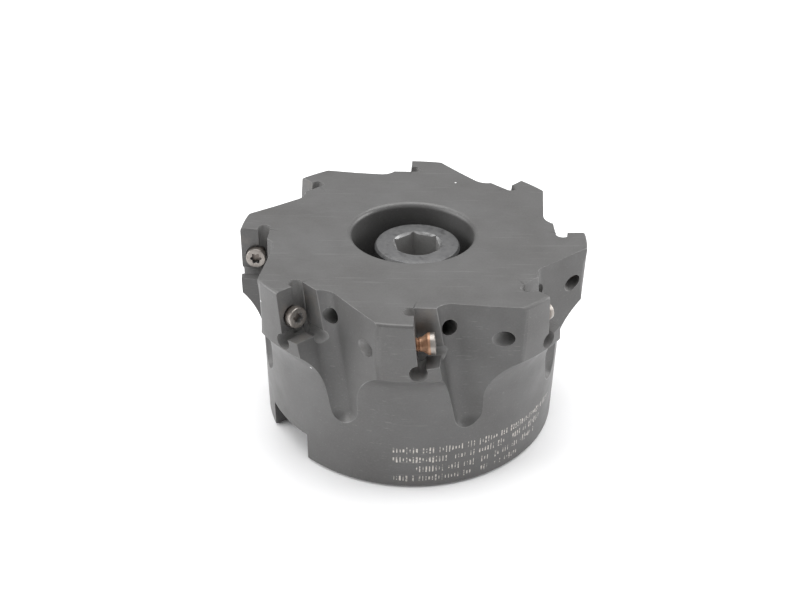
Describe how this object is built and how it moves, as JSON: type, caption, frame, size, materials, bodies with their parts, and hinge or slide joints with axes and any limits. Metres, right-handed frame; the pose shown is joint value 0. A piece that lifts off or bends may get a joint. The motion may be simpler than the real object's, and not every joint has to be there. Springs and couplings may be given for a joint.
{
  "type": "face mill",
  "caption": "Shell-type face mill: a cutter body with empty insert pockets, chip gullets, coolant holes and drive slots, with its insert screws and socket-head lock screw.",
  "frame": {"origin": "centre of the flat back face, on the cutter's axis", "axes": "+Z along the cutter's axis, from the back face to the cutting end; the seat of the first insert lies along -Y"},
  "size_m": [0.0762, 0.0762, 0.0444],
  "materials": {
    "black_oxide_steel": "satin black oxide, lightly scratched",
    "grey_alloy_steel": "satin, turned end face",
    "bright_screw_steel": "bright, with a copper-coloured thread grease"
  },
  "bodies": {
    "cutter": {"cutter_body": "black_oxide_steel"},
    "lock_screw": {"lock_screw": "grey_alloy_steel"},
    "insert_screw_1": {"insert_screw_1": "bright_screw_steel"},
    "insert_screw_2": {"insert_screw_2": "bright_screw_steel"},
    "insert_screw_3": {"insert_screw_3": "bright_screw_steel"},
    "insert_screw_4": {"insert_screw_4": "bright_screw_steel"},
    "insert_screw_5": {"insert_screw_5": "bright_screw_steel"},
    "insert_screw_6": {"insert_screw_6": "bright_screw_steel"},
    "insert_screw_7": {"insert_screw_7": "bright_screw_steel"},
    "insert_screw_8": {"insert_screw_8": "bright_screw_steel"}
  },
  "joints": [
    {"name": "lock_screw_lift", "type": "slide", "parent": "cutter", "child": "lock_screw", "axis": [0, 0, 1], "range_m": [0, 0.045]},
    {"name": "insert_screw_1_out", "type": "slide", "parent": "cutter", "child": "insert_screw_1", "axis": [0.9944, -0.0174, 0.1045], "range_m": [-0.0022, 0.0053]},
    {"name": "insert_screw_2_out", "type": "slide", "parent": "cutter", "child": "insert_screw_2", "axis": [0.7154, 0.6909, 0.1045], "range_m": [-0.0016, 0.0059]},
    {"name": "insert_screw_3_out", "type": "slide", "parent": "cutter", "child": "insert_screw_3", "axis": [0.0174, 0.9944, 0.1045], "range_m": [-0.0003, 0.0072]},
    {"name": "insert_screw_4_out", "type": "slide", "parent": "cutter", "child": "insert_screw_4", "axis": [-0.6909, 0.7154, 0.1045], "range_m": [-0.0009, 0.0066]},
    {"name": "insert_screw_5_out", "type": "slide", "parent": "cutter", "child": "insert_screw_5", "axis": [-0.9944, 0.0174, 0.1045], "range_m": [-0.0002, 0.0073]},
    {"name": "insert_screw_6_out", "type": "slide", "parent": "cutter", "child": "insert_screw_6", "axis": [-0.7154, -0.6909, 0.1045], "range_m": [-0.0005, 0.007]},
    {"name": "insert_screw_7_out", "type": "slide", "parent": "cutter", "child": "insert_screw_7", "axis": [-0.0174, -0.9944, 0.1045], "range_m": [-0.0002, 0.0073]},
    {"name": "insert_screw_8_out", "type": "slide", "parent": "cutter", "child": "insert_screw_8", "axis": [0.6909, -0.7154, 0.1045], "range_m": [-0.0001, 0.0074]}
  ]
}
